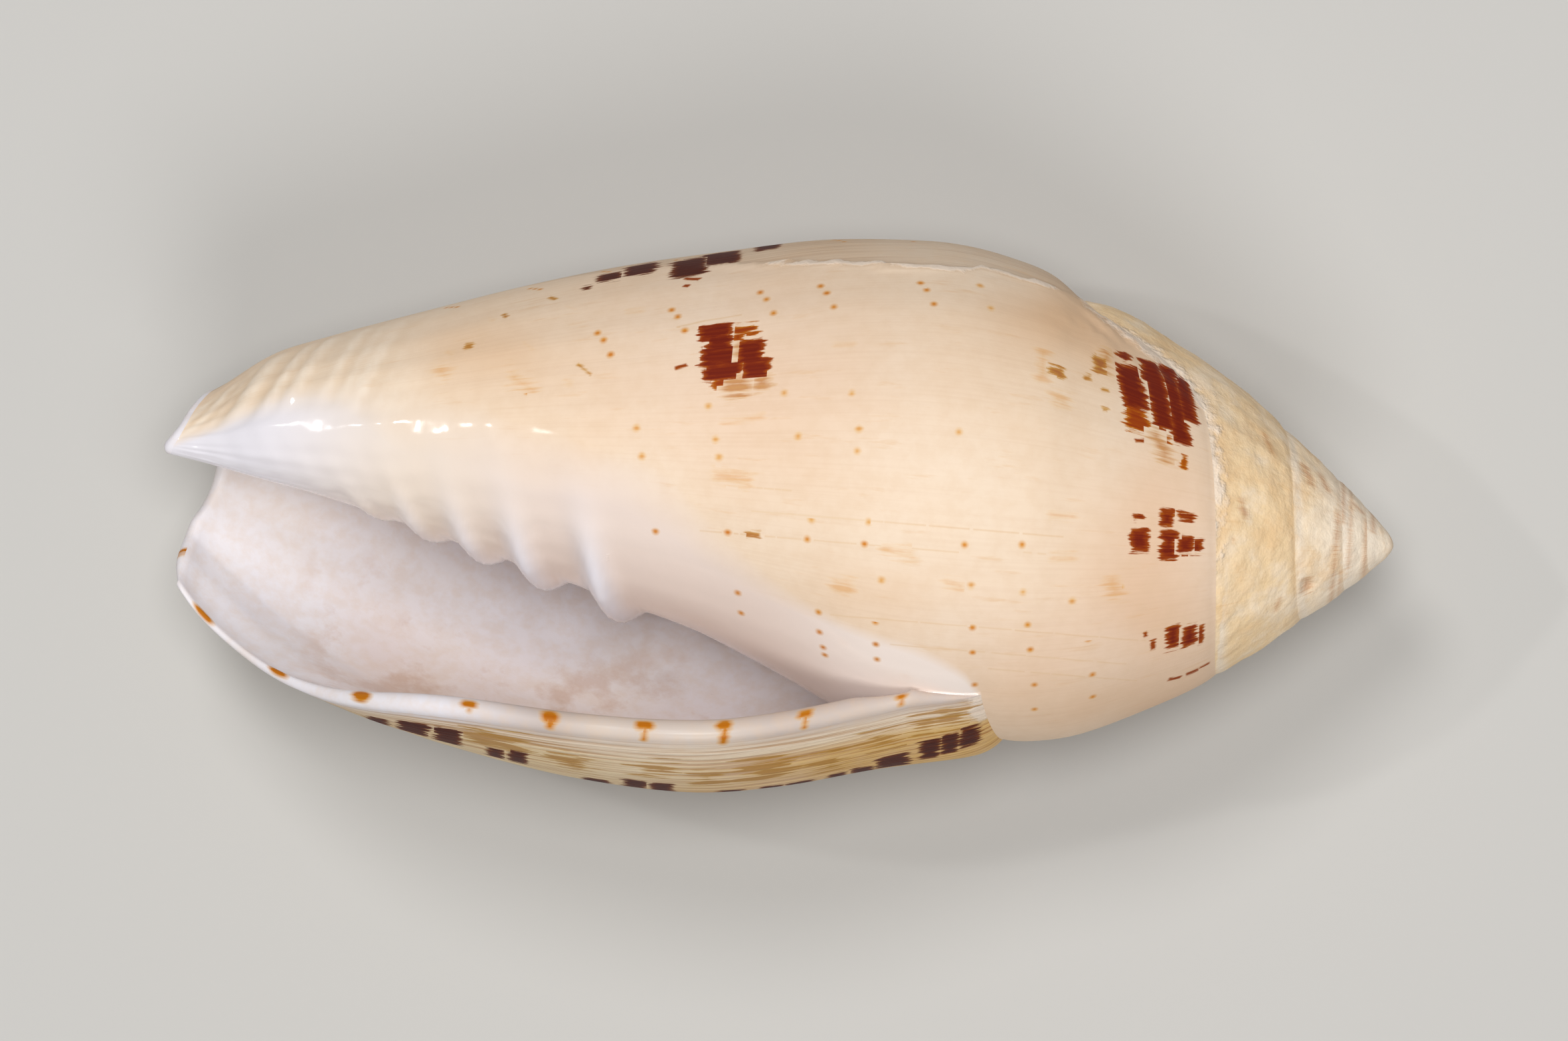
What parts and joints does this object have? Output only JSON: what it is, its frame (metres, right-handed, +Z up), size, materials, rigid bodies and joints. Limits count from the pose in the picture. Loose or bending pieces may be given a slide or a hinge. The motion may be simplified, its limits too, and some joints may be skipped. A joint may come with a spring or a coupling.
{
  "type": "nut mitre seashell",
  "caption": "Nut mitre seashell lying on its back, aperture up: short spire, long narrow aperture, folded columella, siphonal notch and a thin outer lip",
  "frame": {"origin": "middle of the underside of the bounding box", "axes": "+X runs along the coil axis towards the apex, +Z is up out of the aperture, and -Y is the side of the outer lip"},
  "size_m": [0.0498, 0.023, 0.0206],
  "materials": {
    "shell": "smooth, cream aragonite with a porcelain gloss"
  },
  "bodies": {
    "root": {"shell": "shell"}
  },
  "joints": []
}
